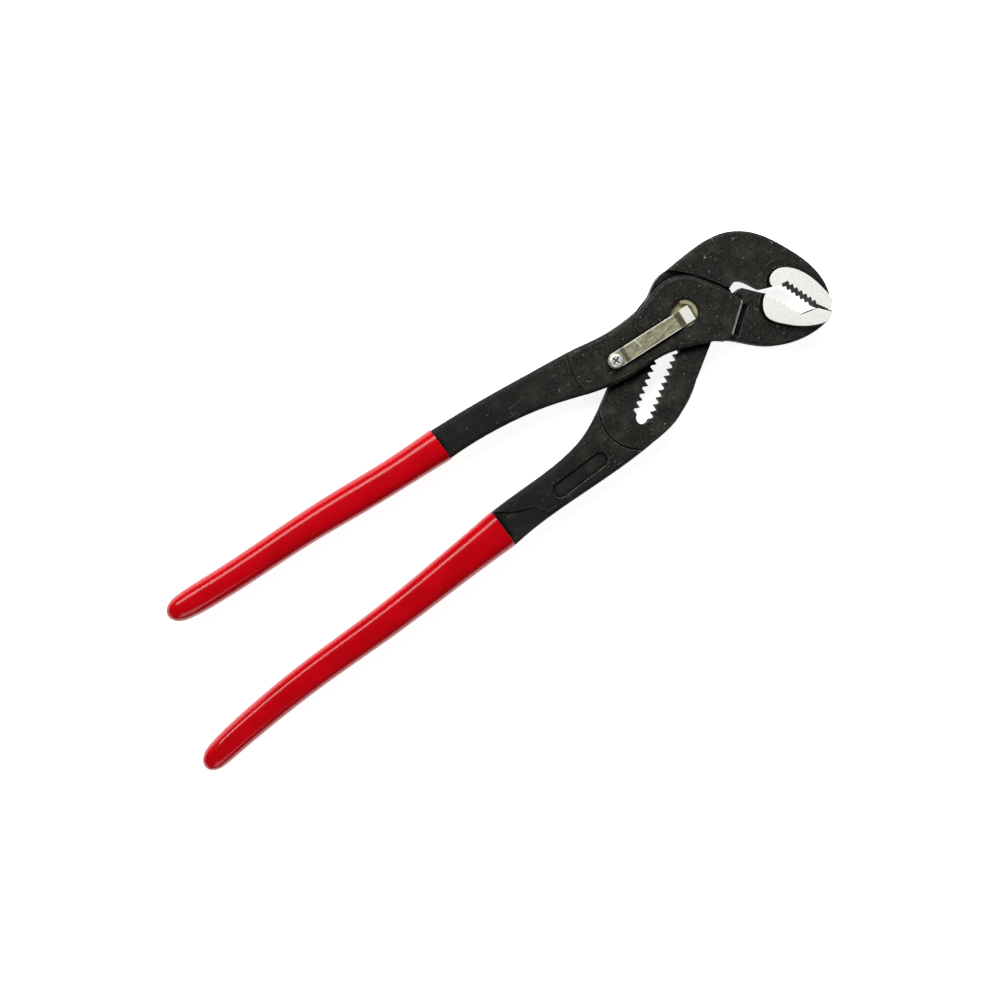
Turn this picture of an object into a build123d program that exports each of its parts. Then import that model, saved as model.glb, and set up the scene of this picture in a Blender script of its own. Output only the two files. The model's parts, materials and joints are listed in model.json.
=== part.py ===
"""Tongue and groove pliers with a push bolt, in millimetres.

The origin is on the pivot's axis, on the back face of the joint. +X runs to the
jaws, +Y to the box lever's handle and +Z to the front face, which carries the
leaf spring. The jaws are closed, with the bolt in the slot's last notches.
"""

import os
from math import atan2, cos, degrees, hypot, radians, sin

from build123d import *

os.makedirs("parts", exist_ok=True)

# ---- Thicknesses, all centred on the joint's middle plane ----
joint_thickness = 15.0       # across both cheeks
cheek_thickness = 4.0        # one cheek
tongue_play = 0.1            # between the tongue and each cheek
handle_thickness = 9.0       # both handles at the grips
shoulder_thickness = 12.6    # box lever's handle where it meets the cheeks
jaw_thickness = 9.8          # lower jaw behind its pad
head_thickness = 10.6        # upper jaw behind its pad
pad_thickness = 13.8         # ground pads of both jaws
core_thickness = 6.4         # handles inside their grips
grip_thickness = 11.6

# ---- Handles and grips ----
grip_mouth = 106.0           # from the pivot to where both grips start
upper_grip_length = 125.0
lower_grip_length = 149.5
grip_wall = 2.2              # coating on the edges of the handles
grip_rounding = 2.6          # bevel around the grips' faces
handle_rounding = 1.6
jaw_rounding = 1.2
thin_to = -60.0              # slot lever's handle fits between the cheeks up to here
thumb_step = 0.9             # drop of the handle's face before the grip
panel_length = 26.0          # shallow panel in the slot lever's handle
panel_width = 6.4
panel_depth = 1.0
panel_place = (-69.6, -26.4)

# ---- Box ----
cheek_radius = 14.6          # cheeks' round edge about the pivot
cheek_bevel = 1.2
web_distance = 19.7          # from the pivot to the web behind the lower jaw
web_direction = -53.0        # degrees, from the pivot to that web
channel_width = 2.6          # groove in the lower jaw along the cheeks' straight edge
channel_depth = 1.2
bolt_dish_radius = 9.0       # thumb dish in the back cheek
bolt_dish_depth = 1.4

# ---- Toothed slot ----
slot_angle = 32.2            # degrees, of the slot to +X
tooth_pitch = 3.0
slot_width = 5.3             # between opposite tooth tips
notch_depth = 1.7
notch_count = 15             # on each side
notch_shift = 1.1            # of the bolt's teeth from its axis, down the slot
slot_head_room = 4.7         # from the bolt's axis to the slot's upper end
slot_foot_room = 0.4         # from the last notch to the slot's round lower end
tooth_flat = 0.6             # width of a notch's floor
end_groove_radius = 16.2     # arc groove across the tongue's end
end_groove_place = (-35.2, -19.6)
end_groove_width = 0.9
end_groove_depth = 0.6

# ---- Pivot bolt, bush and their fits ----
bolt_head_radius = 5.35
bolt_shank_radius = 4.5
bush_wall = 0.73
running_fit = 0.05           # radial, shank in cheek and bush in cheek
head_fit = 0.07              # radial, bolt's head in the bush
slot_fit = 0.05              # each side, bolt's flats and teeth in the slot
release_travel = 3.6         # push that frees the teeth
rim_below_face = 1.1         # bolt's rim below the front cheek's face
rim_height = 1.5             # rim above the recess's floor
rim_width = 1.75
rim_angles = (-58.0, 78.0)   # degrees, from one end of the rim to the other
rim_rounding = 0.3
bolt_end_chamfer = 0.4
bush_chamfer = 0.2
bush_below_face = 0.4
bolt_end_gap = 0.2           # bolt's end above the back face

# ---- Leaf spring and its screw ----
screw_reach = 32.5           # from the pivot back to the screw
screw_height = 1.25          # screw above the X axis
leaf_end_height = -1.3       # leaf's middle line at the bolt, above the X axis
leaf_width = 6.2
leaf_thickness = 0.8
leaf_lift = 0.6              # middle stretch above the cheek
leaf_flat = 0.3              # past the ring, before the step up
leaf_rise = 1.0              # length of the step up
leaf_ramp = 2.6              # length of the steep step down to the bolt
leaf_tab_length = 4.4        # on the bolt
leaf_tab_end = 2.65          # past the pivot
leaf_gap = 0.05              # between the tab and the bolt's recess
leaf_end_gap = 0.5           # between the tab's end and the bolt's rim
leaf_side_gap = 0.06         # between the leaf and what it drops inside
leaf_bend = 0.5              # bending radius
screw_radius = 1.5
screw_head_radius = 2.75
screw_head_height = 1.9
screw_head_rounding = 1.0
screw_length = 4.4
cross_width = 0.75           # arms of the cross recess
cross_length = 3.3
cross_depth = 1.1
cross_turn = 20.0            # degrees

# ---- Jaw teeth ----
coarse_pitch = 2.187
coarse_depth = 1.14
fine_pitch = 0.93
fine_depth = 0.42
fine_share = 0.72            # of the edge from the coarse teeth to the tip
tooth_lean = 0.35            # share of the pitch from a tooth's tip to its root
tip_gap = 0.1                # between the closed jaws

# ---- Levels and radii that follow ----
middle = joint_thickness / 2
front_cheek = joint_thickness - cheek_thickness
box_gap = joint_thickness - 2 * cheek_thickness
tongue_thickness = box_gap - 2 * tongue_play
band_thickness = tongue_thickness - 2 * tongue_play
rim_top = joint_thickness - rim_below_face
recess_floor = rim_top - rim_height
block_bottom = front_cheek - release_travel
bush_inner_radius = bolt_head_radius + head_fit
bush_radius = bush_inner_radius + bush_wall
half_slot = slot_width / 2


def centred(thickness):
    """The plane on which something starts that is centred in the joint."""
    return Plane.XY.offset(middle - thickness / 2)


def polar(radius, angle):
    """A point at this radius and angle about the pivot."""
    return (radius * cos(radians(angle)), radius * sin(radians(angle)))


def side_view(*stations):
    """The lengthwise outline of a forging, from stations of (x, thickness)."""
    upper = [(x, middle + thickness / 2) for x, thickness in stations]
    lower = [(x, middle - thickness / 2) for x, thickness in reversed(stations)]
    return [*upper, *lower]


def arrises(part, least=8.0):
    """The long edges of the front and back faces, which the forging rounds."""
    flat = part.edges().filter_by(lambda edge: abs(edge.tangent_at(0.5).Z) < 0.4)
    return flat.filter_by(lambda edge: edge.length > least)


def saw_teeth(start, end, pitch, depth, lean):
    """Teeth that share a flank evenly, cut into the metal to the right of start to end."""
    length = hypot(end[0] - start[0], end[1] - start[1])
    angle = atan2(end[1] - start[1], end[0] - start[0])
    along = Vector(cos(angle), sin(angle))
    into = Vector(sin(angle), -cos(angle))
    first = Vector(*start)
    count = round(length / pitch)
    step = length / count
    points = [first - into]
    for k in range(count):
        points.append(first + along * (step * k))
        points.append(first + along * (step * (k + lean)) + into * depth)
    points.append(first + along * length)
    points.append(points[-1] - into)
    with BuildSketch() as teeth:
        with BuildLine():
            Polyline(*points, close=True)
        make_face()
    return teeth.sketch


# ---- Grips: stations are (share of the length, middle height, half width) ----
upper_grip_stations = [
    (0.0, 15.65, 6.85),
    (0.20, 17.15, 6.45),
    (0.34, 19.1, 6.6),
    (0.48, 20.9, 6.1),
    (0.76, 22.6, 5.8),
    (0.90, 24.25, 5.85),
    (0.97, 25.3, 4.3),
]
upper_grip_tip = 25.5
lower_grip_stations = [
    (0.0, -25.35, 7.95),
    (0.16, -26.05, 7.15),
    (0.40, -27.15, 6.45),
    (0.64, -26.25, 6.05),
    (0.88, -28.1, 5.6),
    (0.95, -29.4, 5.1),
    (0.983, -30.1, 3.2),
]
lower_grip_tip = -30.2


def grip_outline(length, stations, tip, inset=0.0):
    """A grip's outline or, with an inset, that of the handle inside it."""
    reach = length - inset
    top = [(-grip_mouth - reach * share, y + half - inset) for share, y, half in stations]
    bottom = [(-grip_mouth - reach * share, y - half + inset) for share, y, half in stations[::-1]]
    with BuildSketch() as outline:
        with BuildLine():
            Spline(*top, (-grip_mouth - reach, tip), *bottom)
            Line(bottom[-1], top[0])
        make_face()
    return outline.sketch


bevel_level = grip_thickness / 2 - grip_rounding
bevelled_levels = [
    (-grip_thickness / 2, grip_rounding),
    (-bevel_level, 0.0),
    (bevel_level, 0.0),
    (grip_thickness / 2, grip_rounding),
]

# ---- Box lever: handle, cheeks and lower jaw in one forging ----
box_handle_top = [
    (-grip_mouth, 22.2),
    (-80, 19.6),
    (-58, 16.6),
    (-40, 13.8),
    (-30, 11.8),
    (-20, 11.2),
    (-13.3, 11.5),
]
box_handle_bottom = [
    (4.7, -16.6),
    (-5, -12.0),
    (-16, -8.4),
    (-30, -7.3),
    (-46, -3.7),
    (-62, 2.0),
    (-80, 6.4),
    (-grip_mouth, 9.0),
]
jaw_belly = [
    (43.3, -36.2),
    (34.1, -36.1),
    (24.7, -33.3),
    (18, -29.2),
    (10.2, -21.1),
    (4.7, -16.6),
]
cheek_edge = [(20.8, -10.3), (10.5, -18.1)]
lower_jaw_tip = (46.8, -34.1)
lower_jaw_heel = (30.1, -12.7)
v_corner = (37.4, -28.0)
v_lip = (43.2, -29.6)

with BuildPart() as box_handle:
    with BuildSketch() as handle_face:
        with BuildLine():
            Spline(*box_handle_top)
            Polyline(box_handle_top[-1], (-4, 8), (4.7, -10), box_handle_bottom[0])
            Spline(*box_handle_bottom)
            Line(box_handle_bottom[-1], box_handle_top[0])
        make_face()
    extrude(amount=joint_thickness)
    with BuildSketch(Plane.XZ):
        with BuildLine():
            Polyline(
                *side_view(
                    (-grip_mouth, handle_thickness),
                    (-46, shoulder_thickness),
                    (10, shoulder_thickness),
                ),
                close=True,
            )
        make_face()
    extrude(amount=100, both=True, mode=Mode.INTERSECT)
    rounded = arrises(box_handle.part, 25).filter_by(lambda edge: abs(edge.tangent_at(0.5).X) > 0.5)
    fillet(rounded, handle_rounding)

with BuildPart() as cheeks:
    with BuildSketch():
        with BuildLine():
            Line(box_handle_top[-1], polar(cheek_radius, 104))
            ThreePointArc(polar(cheek_radius, 104), polar(cheek_radius, 65), polar(cheek_radius, 26))
            Polyline(
                polar(cheek_radius, 26),
                (17.0, 0.6),
                (19.8, -5.1),
                (21.4, -9.3),
                *cheek_edge,
                (7.4, -18.9),
                box_handle_bottom[0],
                (-10, 0),
                box_handle_top[-1],
            )
        make_face()
        add(handle_face.sketch)
        with BuildLine():
            ThreePointArc((-45.5, 16), (-49.9, 4.3), (-48.2, -8))
            Polyline((-48.2, -8), (-48.2, -30), (30, -30), (30, 30), (-45.5, 30), (-45.5, 16))
        make_face(mode=Mode.INTERSECT)
    extrude(amount=joint_thickness)
    faces = cheeks.faces().sort_by(Axis.Z)
    chamfer([*faces[-1].edges(), *faces[0].edges()], cheek_bevel)

with BuildPart() as lower_jaw:
    with BuildSketch(centred(jaw_thickness)):
        with BuildLine():
            Polyline((15, -8), (19.4, -5.6), (24.1, -5.6), (28.6, -11.1), lower_jaw_heel)
            Polyline(lower_jaw_heel, v_corner, v_lip, lower_jaw_tip, jaw_belly[0])
            Spline(*jaw_belly)
            Line(jaw_belly[-1], (15, -8))
        make_face()
    extrude(amount=jaw_thickness)
    fillet(arrises(lower_jaw.part, 45), jaw_rounding)
    # A channel runs along the cheeks' straight edge on both faces.
    edge_run = (Vector(*cheek_edge[1]) - Vector(*cheek_edge[0])).normalized()
    channel_side = Vector(-edge_run.Y, edge_run.X) * channel_width
    for side in (1, -1):
        with BuildSketch(Plane.XY.offset(middle + side * (jaw_thickness / 2 - channel_depth))):
            with BuildLine():
                Polyline(
                    cheek_edge[0],
                    cheek_edge[1],
                    Vector(*cheek_edge[1]) + channel_side,
                    Vector(*cheek_edge[0]) + channel_side,
                    close=True,
                )
            make_face()
        extrude(amount=side * joint_thickness, mode=Mode.SUBTRACT)


def pad(base, top, flank):
    """A ground pad: its walls slope in from base to top, and its toothed flank is straight."""
    low = jaw_thickness / 2
    high = pad_thickness / 2
    with BuildPart() as block:
        for level, outline in ((-high, top), (-low, base), (low, base), (high, top)):
            with BuildSketch(Plane.XY.offset(middle + level)):
                with BuildLine():
                    Spline(*outline)
                    Polyline(outline[-1], *flank, outline[0])
                make_face()
        loft(ruled=True)
    return block.part


lower_pad = pad(
    [(29.3, -11.9), (25.4, -15.0), (23.8, -20.0), (27.6, -27.0), (34.7, -33.3), (43.3, -36.1)],
    [(30.1, -12.7), (26.5, -15.8), (25.1, -20.0), (28.6, -26.1), (35.2, -32.2), (43.5, -36.0)],
    [lower_jaw_tip, v_lip, v_corner],
)

with BuildPart() as box_lever:
    add(box_handle.part)
    add(cheeks.part)
    add(lower_jaw.part)
    add(lower_pad)
    with BuildSketch(centred(core_thickness)):
        add(grip_outline(upper_grip_length, upper_grip_stations, upper_grip_tip, grip_wall))
    extrude(amount=core_thickness)
    # The gap between the cheeks, open towards the upper jaw and towards the slot lever's handle.
    web_foot = Vector(*polar(web_distance, web_direction))
    web_run = Vector(*polar(1, web_direction + 90))
    with BuildSketch(Plane.XY.offset(cheek_thickness)):
        with BuildLine():
            Polyline(
                (-44.5, -4.2),
                (-36, 0),
                (-26, 4.9),
                (-18, 9.5),
                (-14, 12),
                (-8, 30),
                (30, 30),
                (30, -4.9),
                (19.7, -4.9),
                web_foot + web_run * 10,
                web_foot - web_run * 12,
                (-44.5, -30),
                close=True,
            )
        make_face()
    extrude(amount=box_gap, mode=Mode.SUBTRACT)
    with BuildSketch():
        Circle(bolt_shank_radius + running_fit)
    extrude(amount=cheek_thickness, mode=Mode.SUBTRACT)
    with BuildSketch(Plane.XY.offset(front_cheek)):
        Circle(bush_radius + running_fit)
        with Locations((-screw_reach, screw_height)):
            Circle(screw_radius)
    extrude(amount=cheek_thickness, mode=Mode.SUBTRACT)
    dish_sphere = (bolt_dish_radius**2 + bolt_dish_depth**2) / (2 * bolt_dish_depth)
    with Locations((0, 0, bolt_dish_depth - dish_sphere)):
        Sphere(dish_sphere, mode=Mode.SUBTRACT)
    with BuildSketch():
        add(saw_teeth(lower_jaw_heel, v_corner, coarse_pitch, coarse_depth, tooth_lean))
    extrude(amount=joint_thickness, mode=Mode.SUBTRACT)

with BuildPart() as box_lever_grip:
    for height, inset in bevelled_levels:
        with BuildSketch(Plane.XY.offset(middle + height)):
            add(grip_outline(upper_grip_length, upper_grip_stations, upper_grip_tip, inset))
    loft(ruled=True)
    with BuildSketch(centred(core_thickness)):
        add(grip_outline(upper_grip_length, upper_grip_stations, upper_grip_tip, grip_wall))
    extrude(amount=core_thickness, mode=Mode.SUBTRACT)

# ---- Slot lever: handle, slotted tongue and upper jaw in one forging ----
slot_handle_top = [
    (-4, 15.2),
    (-40, -5.9),
    (-50, -11.1),
    (-60, -15.4),
    (-70, -17.3),
    (-grip_mouth, -17.6),
]
thumb_curve = [
    (-grip_mouth, -17.3),
    (-102.9, -19.2),
    (-99.7, -21.6),
    (-95.7, -23.7),
    (-91.4, -25.6),
    (-89.3, -28.4),
    (-88.8, -34),
]
slot_handle_bottom = [(-grip_mouth, -33.2), (-75, -33.0), (-40, -33.6), (-25, -31.3), (-10, -23.2)]
tongue_corner = (20.2, -2.8)
tongue_heel = (20.2, -4.2)
head_top = [
    (5.2, 17.3),
    (19.7, 17.8),
    (30.2, 16.2),
    (39.7, 9.7),
    (47.2, -3),
    (51.0, -13.9),
    (51.7, -21.7),
    (49.9, -29.2),
]
head_wall = [(5.2, 17.3), (8, 14.4), (10.4, 11.8), (13.7, 7.6), (17.2, 2.5), tongue_corner]
upper_jaw_tip = (lower_jaw_tip[0] + tip_gap, lower_jaw_tip[1] + tip_gap)
teeth_end = (43.5, -28.0)
teeth_start = (38.6, -13.7)
upper_jaw_flank = [
    (49.3, -30.5),
    (47.3, -32.2),
    upper_jaw_tip,
    teeth_end,
    teeth_start,
    (36.8, -13.4),
]
fine_end = tuple(a + (b - a) * fine_share for a, b in zip(teeth_end, upper_jaw_tip))

with BuildPart() as slot_handle:
    with BuildSketch():
        with BuildLine():
            Polyline(slot_handle_top[0], slot_handle_top[1])
            Spline(*slot_handle_top[1:])
            Line(slot_handle_top[-1], slot_handle_bottom[0])
            Spline(*slot_handle_bottom)
            Line(slot_handle_bottom[-1], slot_handle_top[0])
        make_face()
    extrude(amount=joint_thickness)
    with BuildSketch(Plane.XZ):
        with BuildLine():
            Polyline(
                *side_view(
                    (-grip_mouth, handle_thickness),
                    (thin_to, band_thickness),
                    (0, band_thickness),
                ),
                close=True,
            )
        make_face()
    extrude(amount=100, both=True, mode=Mode.INTERSECT)
    rounded = arrises(slot_handle.part, 20).filter_by(lambda edge: abs(edge.tangent_at(0.5).X) > 0.5)
    fillet(rounded.filter_by(lambda edge: edge.center().X < -30), handle_rounding)
    # The face drops a little before the grip, along a curved step.
    for side in (1, -1):
        with BuildSketch(Plane.XY.offset(middle + side * (handle_thickness / 2 - thumb_step))):
            with BuildLine():
                Spline(*thumb_curve)
                Polyline(thumb_curve[-1], (-grip_mouth, -34), thumb_curve[0])
            make_face()
        extrude(amount=side * 3, mode=Mode.SUBTRACT)
    # A shallow panel with round ends lies along each sloping face.
    slope = (handle_thickness - band_thickness) / 2 / (grip_mouth + thin_to)
    panel_level = band_thickness / 2 + (thin_to - panel_place[0]) * slope - panel_depth
    for side in (1, -1):
        floor = Plane(
            origin=(*panel_place, middle + side * panel_level),
            x_dir=(1, 0, -side * slope),
            z_dir=(slope, 0, side),
        )
        with BuildSketch(floor):
            SlotOverall(panel_length, panel_width)
        extrude(amount=2, mode=Mode.SUBTRACT)

with BuildPart() as tongue:
    with BuildSketch(centred(tongue_thickness)):
        with BuildLine():
            Line((-47.5, -9.9), slot_handle_top[0])
            Spline(slot_handle_top[0], (0, 17.0), head_top[0])
            Polyline(head_top[0], (22, 14), (30, 0), tongue_corner, tongue_heel, slot_handle_bottom[-1])
            Spline(slot_handle_bottom[-1], (-20, -28.8), (-25, -31.3), (-34, -33.1), (-45.4, -33.45))
            ThreePointArc((-45.4, -33.45), (-51.1, -20.7), (-47.5, -9.9))
        make_face()
    extrude(amount=tongue_thickness)

with BuildPart() as upper_head:
    with BuildSketch(centred(head_thickness)):
        with BuildLine():
            Spline(*head_top)
            Polyline(head_top[-1], *upper_jaw_flank)
            Polyline(upper_jaw_flank[-1], (33.7, -12.3), (30.2, -10.6))
            Spline((30.2, -10.6), (28.4, -7.1), (25.3, -2.9), (22.8, -2.0), tongue_corner)
            Spline(*reversed(head_wall))
        make_face()
    extrude(amount=head_thickness)
    fillet(arrises(upper_head.part, 60), jaw_rounding)

upper_pad = pad(
    [
        (31.4, -11.1),
        (33.4, -8.0),
        (38.0, -6.4),
        (43.2, -9.2),
        (47.4, -15.6),
        (49.3, -22.8),
        (49.9, -29.2),
    ],
    [
        (33.8, -12.3),
        (34.6, -9.2),
        (38.4, -7.8),
        (42.6, -9.7),
        (46.9, -15.6),
        (49.0, -22.8),
        (49.8, -29.2),
    ],
    upper_jaw_flank,
)


def slot_points():
    """One side of the toothed slot, from its upper end down, as (along, across)."""
    points = [(slot_head_room, half_slot)]
    for k in range(notch_count):
        notch = tooth_pitch * (0.5 - k) - notch_shift
        points.append((notch + tooth_pitch * 0.45, half_slot))
        points.append((notch + tooth_flat / 2, half_slot + notch_depth))
        points.append((notch - tooth_flat / 2, half_slot + notch_depth))
        points.append((notch - tooth_pitch * 0.45, half_slot))
    points.append((points[-1][0] - slot_foot_room, half_slot))
    return points


def bolt_points(fit):
    """One side of the bolt's toothed block, as (along, across)."""
    flank = tooth_pitch * 0.45 - 2 * fit
    crest = tooth_flat / 2 - 2 * fit
    points = []
    for notch in (tooth_pitch / 2 - notch_shift, -tooth_pitch / 2 - notch_shift):
        points.append((notch + flank, half_slot - fit))
        points.append((notch + crest, half_slot + notch_depth - fit))
        points.append((notch - crest, half_slot + notch_depth - fit))
        points.append((notch - flank, half_slot - fit))
    return points


def both_sides(points):
    """A closed outline from one side's points and their mirror image, turned to the slot's angle."""
    turn = radians(slot_angle)
    outline = [*points, *[(along, -across) for along, across in reversed(points)]]
    return [
        (along * cos(turn) - across * sin(turn), along * sin(turn) + across * cos(turn))
        for along, across in outline
    ]


with BuildPart() as slot_lever:
    add(slot_handle.part)
    add(tongue.part)
    add(upper_head.part)
    add(upper_pad)
    with BuildSketch(centred(core_thickness)):
        add(grip_outline(lower_grip_length, lower_grip_stations, lower_grip_tip, grip_wall))
    extrude(amount=core_thickness)
    with BuildSketch():
        with BuildLine():
            Polyline(*both_sides(slot_points()), close=True)
        make_face()
        slot_end = slot_points()[-1][0]
        with Locations(polar(-slot_end, slot_angle + 180)):
            Circle(half_slot)
    extrude(amount=joint_thickness, mode=Mode.SUBTRACT)
    with BuildSketch():
        add(saw_teeth(teeth_end, teeth_start, coarse_pitch, coarse_depth, 1 - tooth_lean))
        add(saw_teeth(fine_end, teeth_end, fine_pitch, fine_depth, 1 - tooth_lean))
    extrude(amount=joint_thickness, mode=Mode.SUBTRACT)
    # An arc groove crosses the tongue's end on both faces.
    for side in (1, -1):
        with BuildSketch(Plane.XY.offset(middle + side * (band_thickness / 2 - end_groove_depth))):
            with Locations(end_groove_place):
                Circle(end_groove_radius + end_groove_width / 2)
                Circle(end_groove_radius - end_groove_width / 2, mode=Mode.SUBTRACT)
            with Locations((end_groove_place[0] - end_groove_radius, end_groove_place[1])):
                Rectangle(end_groove_radius, 3 * end_groove_radius, mode=Mode.INTERSECT)
        extrude(amount=side * joint_thickness, mode=Mode.SUBTRACT)

with BuildPart() as slot_lever_grip:
    for height, inset in bevelled_levels:
        with BuildSketch(Plane.XY.offset(middle + height)):
            add(grip_outline(lower_grip_length, lower_grip_stations, lower_grip_tip, inset))
    loft(ruled=True)
    with BuildSketch(centred(core_thickness)):
        add(grip_outline(lower_grip_length, lower_grip_stations, lower_grip_tip, grip_wall))
    extrude(amount=core_thickness, mode=Mode.SUBTRACT)

# ---- Pivot bolt: flattened shank, toothed block, and a dished head with a rim ----
with BuildPart() as pivot_bolt:
    with BuildSketch(Plane.XY.offset(bolt_end_gap)):
        Circle(bolt_shank_radius)
        Rectangle(
            4 * bolt_shank_radius,
            2 * (half_slot - slot_fit),
            rotation=slot_angle,
            mode=Mode.INTERSECT,
        )
    extrude(amount=block_bottom - bolt_end_gap)
    with BuildSketch(Plane.XY.offset(block_bottom)):
        with BuildLine():
            Polyline(*both_sides(bolt_points(slot_fit)), close=True)
        make_face()
    extrude(amount=front_cheek - block_bottom)
    with BuildSketch(Plane.XY.offset(front_cheek)):
        Circle(bolt_head_radius)
    extrude(amount=recess_floor - front_cheek)
    with BuildSketch(Plane.XY.offset(recess_floor)):
        Circle(bolt_head_radius)
        Circle(bolt_head_radius - rim_width, mode=Mode.SUBTRACT)
        with BuildLine():
            reach = 3 * bolt_head_radius
            rim_middle = sum(rim_angles) / 2
            Polyline(
                (0, 0),
                polar(reach, rim_angles[0]),
                polar(reach, rim_middle),
                polar(reach, rim_angles[1]),
                close=True,
            )
        make_face(mode=Mode.INTERSECT)
        with Locations((leaf_tab_end + leaf_end_gap - bolt_head_radius, -bolt_head_radius)):
            Rectangle(2 * bolt_head_radius, 2 * bolt_head_radius, mode=Mode.SUBTRACT)
    extrude(amount=rim_height)
    fillet(pivot_bolt.faces().sort_by(Axis.Z)[-1].edges(), rim_rounding)
    chamfer(pivot_bolt.faces().sort_by(Axis.Z)[0].edges(), bolt_end_chamfer)

# ---- Pivot bush: the sleeve that the bolt's head slides in ----
with BuildPart() as pivot_bush:
    with BuildSketch(Plane.XY.offset(front_cheek + running_fit)):
        Circle(bush_radius)
        Circle(bush_inner_radius, mode=Mode.SUBTRACT)
    extrude(amount=cheek_thickness - running_fit - bush_below_face)
    chamfer(pivot_bush.faces().sort_by(Axis.Z)[-1].edges(), bush_chamfer)

# ---- Leaf spring: a strip bent up from its clamped end and steeply down to the bolt ----
leaf_turn = degrees(atan2(leaf_end_height - screw_height, screw_reach + leaf_tab_end))
leaf_length = hypot(leaf_end_height - screw_height, screw_reach + leaf_tab_end)
leaf_plane = Plane(
    origin=(-screw_reach, screw_height, joint_thickness),
    x_dir=(cos(radians(leaf_turn)), sin(radians(leaf_turn)), 0),
)
ring_radius = leaf_width / 2
tab_level = recess_floor + leaf_gap - joint_thickness

with BuildPart() as leaf_spring:
    with BuildSketch(Plane(origin=leaf_plane.origin, x_dir=leaf_plane.x_dir, z_dir=-leaf_plane.y_dir)):
        with BuildLine():
            strip = FilletPolyline(
                (-ring_radius, 0),
                (ring_radius + leaf_flat, 0),
                (ring_radius + leaf_flat + leaf_rise, leaf_lift),
                (leaf_length - leaf_tab_length - leaf_ramp, leaf_lift),
                (leaf_length - leaf_tab_length, tab_level),
                (leaf_length, tab_level),
                radius=leaf_bend,
            )
            offset(amount=leaf_thickness, side=Side.LEFT)
        make_face()
    extrude(amount=leaf_width / 2, both=True)
    with BuildSketch(leaf_plane.offset(-5)):
        Circle(ring_radius)
        with Locations((leaf_length / 2, 0)):
            Rectangle(leaf_length, leaf_width)
    extrude(amount=10, mode=Mode.INTERSECT)
    with BuildSketch(leaf_plane.offset(-5)):
        Circle(screw_radius + running_fit)
    extrude(amount=10, mode=Mode.SUBTRACT)
    # The leaf stays clear of the bush's wall and the bolt's rim where it drops inside them.
    with BuildSketch(Plane.XY.offset(front_cheek)):
        Circle(bush_radius + leaf_side_gap)
        Circle(bush_inner_radius - leaf_side_gap, mode=Mode.SUBTRACT)
        with Locations((bush_radius / 2, bush_radius / 2)):
            Rectangle(bush_radius, bush_radius)
        Circle(bolt_head_radius - rim_width - leaf_side_gap, mode=Mode.SUBTRACT)
    extrude(amount=cheek_thickness - bush_below_face + leaf_side_gap, mode=Mode.SUBTRACT)

# ---- Spring screw: pan head with a cross recess ----
with BuildPart() as spring_screw:
    seat = joint_thickness + leaf_thickness
    with BuildSketch(Plane.XY.offset(seat)):
        with Locations((-screw_reach, screw_height)):
            Circle(screw_head_radius)
    extrude(amount=screw_head_height)
    fillet(spring_screw.faces().sort_by(Axis.Z)[-1].edges(), screw_head_rounding)
    with BuildSketch(Plane.XY.offset(seat - screw_length)):
        with Locations((-screw_reach, screw_height)):
            Circle(screw_radius)
    extrude(amount=screw_length)
    with BuildSketch(Plane.XY.offset(seat + screw_head_height - cross_depth)):
        with Locations((-screw_reach, screw_height)):
            Rectangle(cross_length, cross_width, rotation=cross_turn)
            Rectangle(cross_width, cross_length, rotation=cross_turn)
    extrude(amount=cross_depth, mode=Mode.SUBTRACT)

pieces = {
    "box_lever": box_lever,
    "box_lever_grip": box_lever_grip,
    "slot_lever": slot_lever,
    "slot_lever_grip": slot_lever_grip,
    "pivot_bolt": pivot_bolt,
    "pivot_bush": pivot_bush,
    "leaf_spring": leaf_spring,
    "spring_screw": spring_screw,
}
for name, piece in pieces.items():
    piece.part.label = name
    print(name, round(piece.part.volume), piece.part.is_valid, len(piece.part.solids()))
    export_step(piece.part, f"parts/{name}.step")
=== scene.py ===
"""Tongue and groove pliers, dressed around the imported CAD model: metres, +Z towards the leaf spring."""

import json
from math import cos, radians, sin

import bpy
from mathutils import Matrix, Vector

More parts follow.
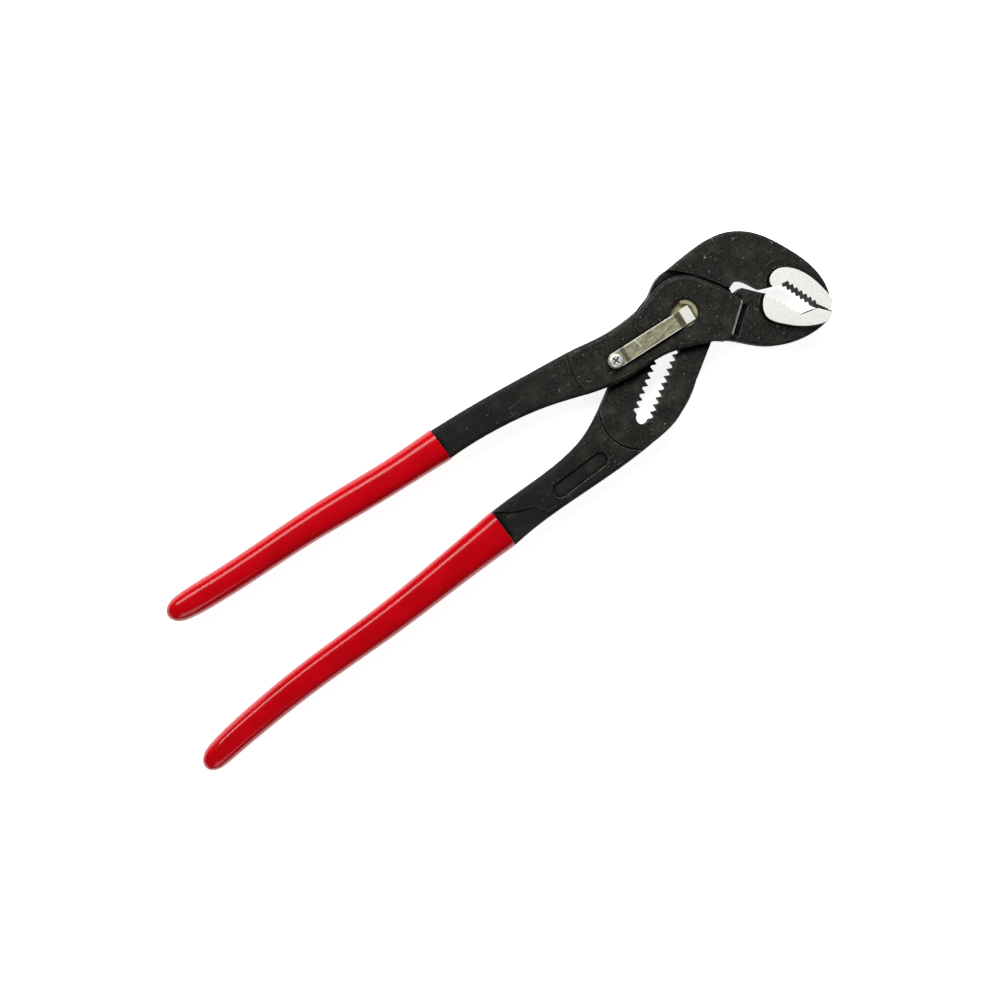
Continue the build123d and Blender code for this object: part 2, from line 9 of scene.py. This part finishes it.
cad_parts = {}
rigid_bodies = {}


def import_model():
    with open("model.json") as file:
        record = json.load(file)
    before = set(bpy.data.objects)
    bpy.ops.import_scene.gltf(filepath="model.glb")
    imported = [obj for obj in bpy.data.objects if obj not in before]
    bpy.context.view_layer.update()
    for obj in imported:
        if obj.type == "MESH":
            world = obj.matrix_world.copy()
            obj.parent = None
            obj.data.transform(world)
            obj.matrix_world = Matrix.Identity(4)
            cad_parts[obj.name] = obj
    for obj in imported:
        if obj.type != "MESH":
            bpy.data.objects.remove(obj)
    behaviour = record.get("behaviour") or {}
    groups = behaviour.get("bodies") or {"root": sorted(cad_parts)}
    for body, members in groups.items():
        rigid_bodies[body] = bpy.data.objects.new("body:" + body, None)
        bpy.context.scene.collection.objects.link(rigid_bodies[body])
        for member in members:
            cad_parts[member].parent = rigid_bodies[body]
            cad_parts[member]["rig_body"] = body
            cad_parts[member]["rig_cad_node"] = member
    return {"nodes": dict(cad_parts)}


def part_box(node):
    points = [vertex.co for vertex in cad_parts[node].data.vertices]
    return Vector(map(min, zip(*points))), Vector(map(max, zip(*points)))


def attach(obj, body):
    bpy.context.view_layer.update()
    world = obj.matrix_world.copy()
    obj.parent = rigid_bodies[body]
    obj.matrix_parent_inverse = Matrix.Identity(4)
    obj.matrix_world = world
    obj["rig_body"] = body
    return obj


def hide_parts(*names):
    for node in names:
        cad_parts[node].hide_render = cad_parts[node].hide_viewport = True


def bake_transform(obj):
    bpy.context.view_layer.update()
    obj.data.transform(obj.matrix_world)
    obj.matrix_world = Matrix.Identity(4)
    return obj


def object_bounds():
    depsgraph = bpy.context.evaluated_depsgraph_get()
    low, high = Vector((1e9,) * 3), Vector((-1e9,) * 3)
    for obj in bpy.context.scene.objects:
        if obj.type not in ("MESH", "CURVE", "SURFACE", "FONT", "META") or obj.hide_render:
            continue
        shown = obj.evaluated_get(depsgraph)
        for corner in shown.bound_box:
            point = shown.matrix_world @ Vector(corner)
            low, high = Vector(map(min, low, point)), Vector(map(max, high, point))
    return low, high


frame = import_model()
cad_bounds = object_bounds()
nodes = frame["nodes"]
bpy.ops.object.select_all(action="DESELECT")


# ---- Forged levers ----
# Two drop forgings of alloy steel, blackened and oiled: the box lever and the slot lever. The blacking
# is a little uneven and rubbed to grey along the arrises. The jaw pads are ground bright, and so is the
# cheeks' edge along the lower jaw, which a cutter has trimmed straight.

mm = 0.001               # metres
BLACKING = (0.0078, 0.0079, 0.0070, 1)
THIN_BLACKING = (0.052, 0.052, 0.043, 1)
# Painted shade: near black for the pads' walls and the inner corners
SHADE_BLACK = (0.0018, 0.0018, 0.0018, 1)
RUBBED_STEEL = (0.200, 0.200, 0.180, 1)
TRIMMED_STEEL = (0.55, 0.55, 0.52, 1)
GROUND_STEEL = (0.86, 0.86, 0.81, 1)
GROUND_SHADE = (0.60, 0.60, 0.55, 1)
JOINT_MIDDLE = 7.5       # mm above the back face
PANEL_LEVEL = 3.2        # mm, the forgings' outer faces lie beyond this from the joint's middle
WALL_LEVEL = 5.35        # mm, the pads' walls rise beyond this
PAD_LEVEL = 6.8          # mm, and their faces lie beyond this
PADS_FROM = 22.5         # mm, along X
PALING_FROM = -95          # mm along X, where the pale patches and sparks on the blacking begin to grow towards the joint
PALING_FULL = -35          # mm along X, and from where they show in full
TRIM_NORMAL = (0.604, -0.797)
TRIM_DISTANCE = 20.77    # mm, from the pivot to the trimmed edge
TRIM_REACH = (-1.05, -0.85, 0.15)    # mm from that edge: the strip's fading inner side and its outer side
TRIM_SPAN = (10.2, 21)   # mm, along X
TRIM_LEVEL = 6.4         # mm from the joint's middle


class Signal:
    """A number at each point of a surface. Arithmetic on it adds Math nodes."""

    def __init__(self, finish, socket):
        self.finish = finish
        self.socket = socket

    def __add__(self, other):
        return self.finish.math("ADD", self, other)

    def __sub__(self, other):
        return self.finish.math("SUBTRACT", self, other)

    def __rsub__(self, other):
        return self.finish.math("SUBTRACT", other, self)

    def __mul__(self, other):
        return self.finish.math("MULTIPLY", self, other)

    def __gt__(self, other):
        return self.finish.math("GREATER_THAN", self, other)

    def __lt__(self, other):
        return self.finish.math("LESS_THAN", self, other)

    __radd__ = __add__
    __rmul__ = __mul__


class Finish:
    """A material, whose nodes are added one at a time and feed its shader."""

    def __init__(self, name, **constants):
        self.material = bpy.data.materials.new(name)
        self.material.use_nodes = True
        self.tree = self.material.node_tree
        self.shader = self.tree.nodes["Principled BSDF"]
        self.surface(**constants)

    def node(self, kind, settings=None, **inputs):
        """Adds a node: its settings first, then its sockets, by name or by number, as in i0."""
        node = self.tree.nodes.new("ShaderNode" + kind)
        for key, value in (settings or {}).items():
            setattr(node, key, value)
        for key, value in inputs.items():
            socket = int(key[1:]) if key[1:].isdigit() else key.replace("_", " ")
            self.feed(node.inputs[socket], value)
        return node

    def feed(self, socket, value):
        """Links a signal or another socket to a socket, or sets it to a constant."""
        if isinstance(value, Signal):
            value = value.socket
        if isinstance(value, bpy.types.NodeSocket):
            self.tree.links.new(value, socket)
        else:
            socket.default_value = value

    def math(self, operation, *values):
        """A Math node on signals and numbers."""
        node = self.node("Math", {"operation": operation})
        for socket, value in zip(node.inputs, values):
            self.feed(socket, value)
        return Signal(self, node.outputs[0])

    def place(self):
        """The point on the piece, in millimetres."""
        coordinates = self.node("TexCoord").outputs["Object"]
        return self.node("VectorMath", {"operation": "SCALE"}, i0=coordinates, Scale=1 / mm).outputs[0]

    def stretched(self, turn, factors):
        """The same point scaled along each axis, then turned about Z, in degrees."""
        turned = (0, 0, radians(turn))
        return self.node("Mapping", i0=self.place(), Rotation=turned, Scale=factors).outputs[0]

    def axes(self):
        """The point's X, Y and Z, in millimetres."""
        split = self.node("SeparateXYZ", i0=self.place())
        return [Signal(self, socket) for socket in split.outputs]

    def noise(self, size, detail=2.0, roughness=0.5, vector=None):
        """Cloudy noise about 0.5, whose lumps are this many millimetres across."""
        vector = self.place() if vector is None else vector
        lumps = {"Scale": 1 / size, "Detail": detail, "Roughness": roughness}
        return Signal(self, self.node("TexNoise", Vector=vector, **lumps).outputs["Fac"])

    def step(self, signal, low, high):
        """Rises smoothly from 0 to 1 as the signal goes from low to high."""
        smoothly = {"interpolation_type": "SMOOTHSTEP"}
        node = self.node("MapRange", smoothly, Value=signal, From_Min=low, From_Max=high)
        return Signal(self, node.outputs[0])

    def mix(self, share, first, second):
        """A colour between two, by share."""
        node = self.node("Mix", {"data_type": "RGBA"}, i0=share, i6=first, i7=second)
        return node.outputs[2]

    def bump(self, height, depth, rounding=None, strength=1.0):
        """Dents the surface by up to depth, and softens its arrises by a rounding, in millimetres."""
        node = self.node("Bump", Height=height, Distance=depth * mm, Strength=strength)
        if rounding is not None:
            soft = self.node("Bevel", {"samples": 6}, Radius=rounding * mm)
            self.feed(node.inputs["Normal"], soft.outputs[0])
        self.feed(self.shader.inputs["Normal"], node.outputs[0])

    def surface(self, **inputs):
        """Feeds the shader's sockets."""
        for socket, value in inputs.items():
            self.feed(self.shader.inputs[socket.replace("_", " ")], value)

    def crevices(self, reach):
        """About 1 in inner corners, within this many millimetres of them, and 0 in the open."""
        open_sky = self.node("AmbientOcclusion", {"samples": 8}, Distance=reach * mm)
        return 1 - Signal(self, open_sky.outputs["AO"])

    def edges(self, width):
        """About 1 on arrises, within this many millimetres of them, and 0 elsewhere."""
        bevel = self.node("Bevel", {"samples": 6}, Radius=width * mm)
        plain = self.node("NewGeometry").outputs["Normal"]
        agree = self.node("VectorMath", {"operation": "DOT_PRODUCT"}, i0=bevel.outputs[0], i1=plain)
        return 1 - Signal(self, agree.outputs["Value"])


def blackened_forging():
    """Blacking over a forged skin, trimmed along the cheeks and ground bright on the jaw pads."""
    forging = Finish("blackened_forging", Specular_IOR_Level=0.10)
    x, y, z = forging.axes()
    above_middle = forging.math("ABSOLUTE", z - JOINT_MIDDLE)
    pads = (above_middle > PAD_LEVEL) * (x > PADS_FROM)
    patches = forging.noise(7, detail=3)
    skin = forging.noise(0.7, detail=4, roughness=0.65)
    specks = forging.step(forging.noise(0.75, detail=3, roughness=0.7), 0.58, 0.66)
    sparks = forging.step(forging.noise(1.1), 0.70, 0.74)
    long_lines = forging.noise(1, detail=3, vector=forging.stretched(62, (0.12, 2.6, 1)))
    scratches = forging.step(long_lines, 0.66, 0.73)
    short_lines = forging.noise(1, vector=forging.stretched(-25, (0.5, 1.9, 1)))
    nicks = forging.step(short_lines, 0.72, 0.76)
    near_joint = 0.3 + 0.7 * forging.step(x, PALING_FROM, PALING_FULL)
    thin = forging.step(skin, 0.44, 0.60) * 0.26 + forging.step(patches, 0.45, 0.75) * 0.34 + specks * 0.26
    black = forging.mix(thin * near_joint, BLACKING, THIN_BLACKING)
    # Painted shade: the pads' walls and the inner corners are painted near black, as the shade that falls
    # there.
    walls = (above_middle > WALL_LEVEL) * (above_middle < PAD_LEVEL) * (x > PADS_FROM)
    painted_shade = forging.math("MAXIMUM", forging.step(forging.crevices(4.0), 0.07, 0.28), walls)
    black = forging.mix(painted_shade, black, SHADE_BLACK)
    worn = forging.step(forging.edges(0.35), 0.012, 0.10) * forging.step(skin, 0.40, 0.60)
    marks = (scratches * 0.35 + nicks * 0.7 + sparks * near_joint) * (above_middle > PANEL_LEVEL)
    rubbed = forging.math("MAXIMUM", worn * 0.9, marks)
    black = forging.mix(rubbed, black, RUBBED_STEEL)
    beyond = x * TRIM_NORMAL[0] + y * TRIM_NORMAL[1] - TRIM_DISTANCE
    strip = forging.step(beyond, TRIM_REACH[0], TRIM_REACH[1]) * (beyond < TRIM_REACH[2])
    strip = strip * (x > TRIM_SPAN[0]) * (x < TRIM_SPAN[1]) * (above_middle > TRIM_LEVEL)
    trimmed = strip * (1 - pads) * (0.55 + 0.45 * forging.step(skin, 0.35, 0.6))
    black = forging.mix(trimmed, black, TRIMMED_STEEL)
    grain = forging.noise(0.5, detail=3)
    shade = forging.step(grain, 0.35, 0.75) * 0.7 + forging.step(patches, 0.5, 0.8) * 0.3
    bright = forging.mix(shade, GROUND_STEEL, GROUND_SHADE)
    forging.surface(
        Base_Color=forging.mix(pads, black, bright),
        Roughness=(0.52 + patches * 0.14 - rubbed * 0.12) * (1 - pads) + (0.38 + grain * 0.2) * pads,
        Metallic=(rubbed * 0.3 + trimmed * 0.2) * (1 - pads) + 0.2 * pads,
    )
    forging.bump(skin * (1 - pads * 0.8) + patches * (1 - pads) * 1.5 - nicks * 0.25, 0.12, rounding=0.3)
    return forging.material


def finish_node(name, material):
    """Gives a CAD piece its finish."""
    nodes[name].data.materials.clear()
    nodes[name].data.materials.append(material)


forged = blackened_forging()
finish_node("box_lever", forged)
finish_node("slot_lever", forged)


# ---- Handle grips ----
# Each handle is dipped in soft PVC, which sets in a glossy red skin about 2 mm thick. It is drawn as a
# rounded bar that follows the handle, with a soft lip at its mouth and a domed end. A station is a share
# of the grip's length from its mouth, then its middle's Y, half width and half thickness, in mm.

GRIP_RED = (0.47, 0.0004, 0.005, 1)
GRIP_DEEP_RED = (0.36, 0.0002, 0.003, 1)
GRIP_SPECK = (0.30, 0.002, 0.008, 1)
UPPER_GRIP_STATIONS = (
    (0.004, 15.65, 6.95, 5.8),
    (0.012, 15.7, 6.95, 5.85),
    (0.10, 16.4, 6.6, 5.8),
    (0.20, 17.2, 6.45, 5.75),
    (0.34, 19.1, 6.6, 5.75),
    (0.48, 20.9, 6.15, 5.7),
    (0.62, 21.8, 5.85, 5.7),
    (0.76, 22.65, 5.8, 5.7),
    (0.90, 24.25, 5.8, 5.6),
    (0.945, 24.9, 5.3, 5.2),
)
UPPER_GRIP_TIP = 25.4    # mm, along Y
LOWER_GRIP_STATIONS = (
    (0.003, -25.35, 8.0, 5.8),
    (0.01, -25.37, 8.0, 5.85),
    (0.08, -25.7, 7.5, 5.8),
    (0.16, -26.05, 7.15, 5.8),
    (0.28, -26.75, 6.7, 5.75),
    (0.40, -27.1, 6.45, 5.7),
    (0.52, -26.7, 6.2, 5.7),
    (0.64, -26.35, 6.05, 5.7),
    (0.77, -27.0, 5.85, 5.6),
    (0.88, -28.1, 5.6, 5.5),
    (0.925, -28.85, 5.4, 5.3),
    (0.955, -29.4, 5.15, 5.0),
)
LOWER_GRIP_TIP = -30.2
CORNER = 5.2             # mm, rounding of the grips' section
CORNER_STEPS = 4         # faces in each rounded corner
WIDER = 1.035            # makes up for what smoothing takes off the section
LONGER = 0.5             # mm, and off the end
LIP = 0.9                # size of the mouth's flat end, as a share of the section
DOME_ANGLES = (24, 46, 66, 82)       # degrees round the domed end, from its rim to its tip
TIP = 0.3                # size of the last ring, which then closes to a point
SKIN_LEVELS = 2          # of smoothing


def dipped_vinyl():
    """Glossy, slightly wavy red skin."""
    vinyl = Finish("dipped_vinyl", Coat_Roughness=0.04, Coat_IOR=1.44, Specular_IOR_Level=0.05)
    waves = vinyl.noise(11)
    ripple = vinyl.noise(2.6)
    dust = vinyl.noise(0.3)
    specks = vinyl.step(dust, 0.66, 0.74)
    red = vinyl.mix(vinyl.step(waves, 0.3, 0.8) * 0.7, GRIP_RED, GRIP_DEEP_RED)
    vinyl.surface(
        Base_Color=vinyl.mix(specks * 0.25, red, GRIP_SPECK),
        Roughness=0.30 + waves * 0.10 + specks * 0.15,
        Coat_Weight=0.65 + waves * 0.25 - specks * 0.2,
    )
    vinyl.bump(waves + ripple * 0.12 + dust * 0.01, 0.20, strength=0.4)
    return vinyl.material


def carry(place, new_place, width, thickness):
    """Extrudes the selected section to a new place and scales it there."""
    bpy.ops.mesh.extrude_region_move(TRANSFORM_OT_translate={"value": new_place - place})
    bpy.ops.transform.resize(value=(1, width, thickness), center_override=new_place)


def smooth(piece):
    """Rounds a piece with a subdivision surface and shades it smooth."""
    subdivision = piece.modifiers.new("skin", "SUBSURF")
    subdivision.levels = SKIN_LEVELS
    subdivision.render_levels = SKIN_LEVELS
    bpy.ops.object.modifier_apply(modifier="skin")
    bpy.ops.object.shade_smooth()


def dipped_grip(name, node, body, stations, tip):
    """Carries a rounded section back from the grip's mouth along its stations, and domes the end."""
    low, high = (Vector(corner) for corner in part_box(node))
    length = high.x - low.x
    middle = (low.z + high.z) / 2
    stations = [(share, y, width * WIDER, thickness) for share, y, width, thickness in stations]
    y, half_width, half_thickness = stations[0][1:]
    place = Vector((high.x, y * mm, middle))
    bpy.ops.object.select_all(action="DESELECT")
    bpy.ops.mesh.primitive_plane_add(size=2, location=place, rotation=(0, radians(-90), 0))
    grip = bpy.context.object
    grip.name = name
    bpy.ops.object.transform_apply(location=True, rotation=True, scale=True)
    bpy.ops.object.mode_set(mode="EDIT")
    bpy.ops.mesh.select_all(action="SELECT")
    bpy.ops.transform.resize(value=(1, half_width * mm, half_thickness * mm), center_override=place)
    bpy.ops.mesh.bevel(offset=CORNER * mm, segments=CORNER_STEPS, affect="VERTICES")
    bpy.ops.mesh.select_all(action="SELECT")
    bpy.ops.transform.resize(value=(1, LIP, LIP), center_override=place)
    carry(place, place, 1 / LIP, 1 / LIP)
    for share, y, width, thickness in stations:
        new_place = Vector((high.x - length * share, y * mm, middle))
        carry(place, new_place, width / half_width, thickness / half_thickness)
        place, half_width, half_thickness = new_place, width, thickness
    dome = place
    end = Vector((low.x - LONGER * mm, tip * mm, middle))
    shrunk = 1.0
    for angle in DOME_ANGLES:
        new_place = dome.lerp(end, sin(radians(angle)))
        ring = cos(radians(angle))
        carry(place, new_place, ring / shrunk, ring / shrunk)
        place, shrunk = new_place, ring
    carry(place, end, TIP, TIP)
    bpy.ops.mesh.merge(type="CENTER")
    bpy.ops.mesh.select_all(action="DESELECT")
    bpy.ops.mesh.select_mode(type="EDGE")
    bpy.ops.mesh.select_non_manifold()
    bpy.ops.mesh.edge_face_add()
    bpy.ops.mesh.select_all(action="SELECT")
    bpy.ops.mesh.normals_make_consistent(inside=False)
    bpy.ops.object.mode_set(mode="OBJECT")
    smooth(grip)
    grip.data.materials.append(vinyl)
    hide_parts(node)
    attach(grip, body)


vinyl = dipped_vinyl()
dipped_grip("upper_dipped_grip", "box_lever_grip", "box_lever", UPPER_GRIP_STATIONS, UPPER_GRIP_TIP)
dipped_grip("lower_dipped_grip", "slot_lever_grip", "slot_lever", LOWER_GRIP_STATIONS, LOWER_GRIP_TIP)


# ---- Pivot bolt and bush ----
# The bolt is turned steel with a milled block of teeth and a dished head, plated in yellow zinc. Its
# head slides in a blackened bush, which shows as a dark ring in the front cheek.

ZINC_YELLOW = (0.42, 0.39, 0.22, 1)
# Brown chromate, and the painted shade in the bolt's corners
ZINC_BROWN_AND_SHADE = (0.20, 0.175, 0.09, 1)
ZINC_PALE = (0.66, 0.64, 0.47, 1)
BUSH_BLACK = (0.006, 0.006, 0.006, 1)
BUSH_RUBBED = (0.10, 0.10, 0.095, 1)


def yellow_zinc():
    """Yellow chromate over zinc: patchy, with painted shade in its corners and pale rubbed edges."""
    zinc = Finish("yellow_zinc", Specular_IOR_Level=0.5)
    x, y = zinc.axes()[:2]
    clouds = zinc.noise(1.6, detail=4, roughness=0.6)
    grain = zinc.noise(0.25)
    # Brown patches, which grow towards +Y and -X.
    browner_to_plus_y_minus_x = zinc.step(zinc.noise(2.6, detail=3) + (y - x) * 0.05, 0.45, 0.85)
    colour = zinc.mix(zinc.step(clouds, 0.35, 0.7) * 0.3 + browner_to_plus_y_minus_x * 0.5, ZINC_YELLOW, ZINC_BROWN_AND_SHADE)
    # Painted shade in the bolt's inner corners.
    colour = zinc.mix(zinc.step(zinc.crevices(0.8), 0.2, 0.6), colour, ZINC_BROWN_AND_SHADE)
    pale = zinc.step(zinc.edges(0.35), 0.04, 0.4)
    zinc.surface(
        Base_Color=zinc.mix(pale * 0.8, colour, ZINC_PALE),
        Roughness=0.34 + clouds * 0.2 - pale * 0.1,
        Metallic=0.35 + clouds * 0.2,
    )
    zinc.bump(clouds * 0.5 + grain * 0.5, 0.05, rounding=0.25)
    return zinc.material


def blackened_bush():
    """Black oxide, rubbed on its rim."""
    bush = Finish("blackened_bush", Specular_IOR_Level=0.3)
    clouds = bush.noise(1.2, detail=3)
    rim = bush.step(bush.edges(0.3), 0.05, 0.4) * bush.step(clouds, 0.4, 0.65)
    bush.surface(
        Base_Color=bush.mix(rim * 0.7, BUSH_BLACK, BUSH_RUBBED),
        Roughness=0.45 + clouds * 0.2,
        Metallic=rim * 0.6,
    )
    bush.bump(clouds, 0.04, rounding=0.15)
    return bush.material


finish_node("pivot_bolt", yellow_zinc())
finish_node("pivot_bush", blackened_bush())


# ---- Leaf spring and its screw ----
# The leaf is a strip of spring steel, plated in dull zinc, sheared to width and cranked at both ends. The
# screw clamps its round end to the cheek, and its tab presses on the bolt. The real leaf bends as the bolt
# lifts; here it is only cut into short lengths, and stays as modelled.

LEAF_ZINC = (0.40, 0.385, 0.265, 1)
LEAF_DARK = (0.165, 0.15, 0.085, 1)
# Bright zinc for the scuff and the sheared edges, and the tab's painted highlight
LEAF_BRIGHT_AND_HIGHLIGHT = (0.95, 0.95, 0.90, 1)
# Painted shade and dark reflection at the leaf's cranks
LEAF_CRANK_SHADE = (0.060, 0.046, 0.028, 1)
SCREW_ZINC = (0.84, 0.84, 0.82, 1)
# Dull zinc patches, and the painted shade in the screw's cross
SCREW_DULL_AND_SHADE = (0.05, 0.05, 0.045, 1)
LEAF_TURN = -4.15        # degrees, of the leaf to +X
LEAF_START = (-32.5, 1.25)           # mm, where distances along and across the leaf begin
FIRST_CRANK = (3.6, 5.0)             # mm, along the leaf
SECOND_CRANK = (28.2, 31.0)
CRANK_RISE = (-0.4, 0.2)             # mm, the painted shade comes in over this at a crank's start
CRANK_FALL = (-0.2, 0.5)             # mm, and goes over this at its end
TAB_FROM = 31.2                      # mm, along the leaf, where the tab's painted highlight begins
SHEARED_EDGE = (2.72, 2.95)          # mm from the leaf's middle line
SCUFF_CENTRE = (2.5, -1)             # mm along and across, of the arc that is rubbed round the screw
SCUFF_RADIUS = 8.6
SCUFF_SIDE = (-1.5, 0)               # mm across, the arc shows beyond this
CROSS_FLOOR = (16.45, 16.55)         # mm, heights between which the screw's cross is painted dark as shade
CROSS_MOUTH = (16.95, 17.3)          # mm, and between which it turns bright again
WELD = 0.001             # mm, points nearer than this become one
BEND_STEP = 2.0          # mm, between the cuts that let the leaf bend


def crank(finish, along, span):
    """1 over a cranked stretch of the leaf, fading at both ends."""
    begun = finish.step(along, span[0] + CRANK_RISE[0], span[0] + CRANK_RISE[1])
    ended = finish.step(along, span[1] + CRANK_FALL[0], span[1] + CRANK_FALL[1])
    return begun * (1 - ended)


def dull_zinc():
    """Mottled zinc on the leaf, with painted shade at its cranks, bright along its sheared edges, and a
    painted highlight on its tab.
    """
    zinc = Finish("dull_zinc", Specular_IOR_Level=0.5)
    x, y = zinc.axes()[:2]
    turn = radians(LEAF_TURN)
    from_x, from_y = x - LEAF_START[0], y - LEAF_START[1]
    along = from_x * cos(turn) + from_y * sin(turn)
    across = from_y * cos(turn) - from_x * sin(turn)
    clouds = zinc.noise(1.4, detail=5, roughness=0.65)
    grain = zinc.noise(0.22)
    streaks = zinc.noise(1, detail=3, vector=zinc.stretched(4, (0.25, 1.3, 1)))
    worn = zinc.step(clouds, 0.36, 0.66) * 0.55 + zinc.step(streaks, 0.38, 0.62) * 0.55
    mottle = zinc.mix(worn, LEAF_ZINC, LEAF_DARK)
    # Painted shade and dark reflection on the leaf's two cranks.
    crank_shade = zinc.math("MAXIMUM", crank(zinc, along, FIRST_CRANK), crank(zinc, along, SECOND_CRANK))
    off_along, off_across = along - SCUFF_CENTRE[0], across - SCUFF_CENTRE[1]
    swing = zinc.math("SQRT", off_along * off_along + off_across * off_across)
    arc = 1 - zinc.step(zinc.math("ABSOLUTE", swing - SCUFF_RADIUS), 0.1, 0.5)
    scuff = arc * zinc.step(across, *SCUFF_SIDE)
    mottle = zinc.mix(scuff * 0.35, mottle, LEAF_BRIGHT_AND_HIGHLIGHT)
    sheared = zinc.step(zinc.math("ABSOLUTE", across), *SHEARED_EDGE)
    colour = zinc.mix(crank_shade * 0.85, mottle, LEAF_CRANK_SHADE)
    # The sheared edges are bright zinc; the tab gets a painted highlight.
    bright = zinc.math("MAXIMUM", sheared * (1 - crank_shade * 0.6) * 0.8, (along > TAB_FROM) * 0.75)
    zinc.surface(
        Base_Color=zinc.mix(bright, colour, LEAF_BRIGHT_AND_HIGHLIGHT),
        Roughness=0.40 + clouds * 0.2 - bright * 0.1,
        Metallic=0.45 - crank_shade * 0.2 - bright * 0.2,
    )
    zinc.bump(clouds * 0.6 + grain * 0.4, 0.05, rounding=0.12)
    return zinc.material


def bright_zinc():
    """Bright zinc on the screw, with painted shade in its cross."""
    zinc = Finish("bright_zinc", Specular_IOR_Level=0.5)
    z = zinc.axes()[2]
    clouds = zinc.noise(0.9, detail=3)
    # Painted shade in the screw's cross recess.
    cross_shade = zinc.step(z, *CROSS_FLOOR) * (1 - zinc.step(z, *CROSS_MOUTH))
    zinc.surface(
        Base_Color=zinc.mix(zinc.step(clouds, 0.4, 0.7) * 0.4 + cross_shade * 0.6, SCREW_ZINC, SCREW_DULL_AND_SHADE),
        Roughness=0.24 + clouds * 0.16,
        Metallic=0.45 - cross_shade * 0.2,
    )
    zinc.bump(clouds, 0.03, rounding=0.15)
    return zinc.material


bpy.ops.object.select_all(action="DESELECT")
nodes["leaf_spring"].select_set(True)
bpy.context.view_layer.objects.active = nodes["leaf_spring"]
bpy.ops.object.duplicate()
leaf = bpy.context.object
leaf.name = "bent_leaf"
bpy.ops.object.parent_clear(type="CLEAR_KEEP_TRANSFORM")
del leaf["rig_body"]
del leaf["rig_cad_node"]
low, high = (Vector(corner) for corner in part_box("leaf_spring"))
bpy.ops.object.mode_set(mode="EDIT")
bpy.ops.mesh.select_all(action="SELECT")
bpy.ops.mesh.remove_doubles(threshold=WELD * mm)
bpy.ops.mesh.dissolve_limited(angle_limit=radians(1))
cut = low.x + 2 * BEND_STEP * mm
while cut < high.x - BEND_STEP * mm:
    bpy.ops.mesh.select_all(action="SELECT")
    bpy.ops.mesh.bisect(plane_co=(cut, 0, 0), plane_no=(1, 0, 0))
    cut += BEND_STEP * mm
bpy.ops.object.mode_set(mode="OBJECT")
bpy.ops.object.shade_smooth_by_angle(angle=radians(30))
leaf.data.materials.clear()
leaf.data.materials.append(dull_zinc())
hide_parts("leaf_spring")
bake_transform(leaf)

finish_node("spring_screw", bright_zinc())


# ---- Studio ----
# A white sheet of paper lies under the tool, in a softly lit room. A square light stands at the jaws'
# side, a long one beside the upper handle draws the streak on each grip, and a weak one fills the shade.

SHEET_WHITE = (0.93, 0.93, 0.93, 1)
SHEET_FIBRE = (0.85, 0.85, 0.85, 1)
WHITE = (1, 1, 1, 1)
SHEET_GLOW = 0.85
ROOM_GLOW = 0.025

bpy.ops.mesh.primitive_plane_add(size=6, location=(0, 0, -0.2 * mm))
floor = bpy.context.object
floor.name = "floor"
sheet = Finish("white_sheet", Roughness=0.9, Specular_IOR_Level=0.1)
sheet.surface(
    Base_Color=sheet.mix(sheet.noise(1.5) * 0.1, SHEET_WHITE, SHEET_FIBRE),
    Emission_Color=WHITE,
    Emission_Strength=SHEET_GLOW,
)
floor.data.materials.append(sheet.material)


def soft_light(name, place, target, width, length, power):
    """An area light at a place, turned to a target, with its length along X, in metres and watts."""
    bpy.ops.object.light_add(type="AREA", location=place)
    light = bpy.context.object
    light.name = name
    light.data.shape = "RECTANGLE"
    light.data.size = length
    light.data.size_y = width
    light.data.energy = power
    light.rotation_euler = (Vector(target) - Vector(place)).to_track_quat("-Z", "Y").to_euler()


centre = (Vector(cad_bounds[0]) + Vector(cad_bounds[1])) / 2
soft_light("jaw_light", (0.50, 0.55, 0.60), centre, 0.4, 0.4, 7)
soft_light("streak_light", (-0.10, 0.60, 0.76), centre, 0.42, 1.1, 9.5)
soft_light("fill_light", (-0.7, -0.6, 0.6), centre, 0.6, 0.6, 2.2)

world = bpy.data.worlds.new("bright_room")
world.use_nodes = True
world.node_tree.nodes["Background"].inputs["Color"].default_value = WHITE
world.node_tree.nodes["Background"].inputs["Strength"].default_value = ROOM_GLOW
bpy.context.scene.world = world
bpy.context.scene.view_settings.view_transform = "Standard"

CAMERA_PLACE = Vector((-0.100, 0.040, 0.710))
CAMERA_TARGET = Vector((-0.10058, -0.01554, 0.010))
CAMERA_TURN = 36.697     # degrees, between the tool's +X and the frame's width
CAMERA_LENS = 64.75      # mm

bpy.ops.object.camera_add(location=CAMERA_PLACE)
camera = bpy.context.object
camera.data.lens = CAMERA_LENS
back = (CAMERA_PLACE - CAMERA_TARGET).normalized()
right = Vector((sin(radians(CAMERA_TURN)), cos(radians(CAMERA_TURN)), 0)).cross(back).normalized()
up = back.cross(right)
camera.rotation_euler = Matrix((right, up, back)).transposed().to_euler()
bpy.context.scene.camera = camera
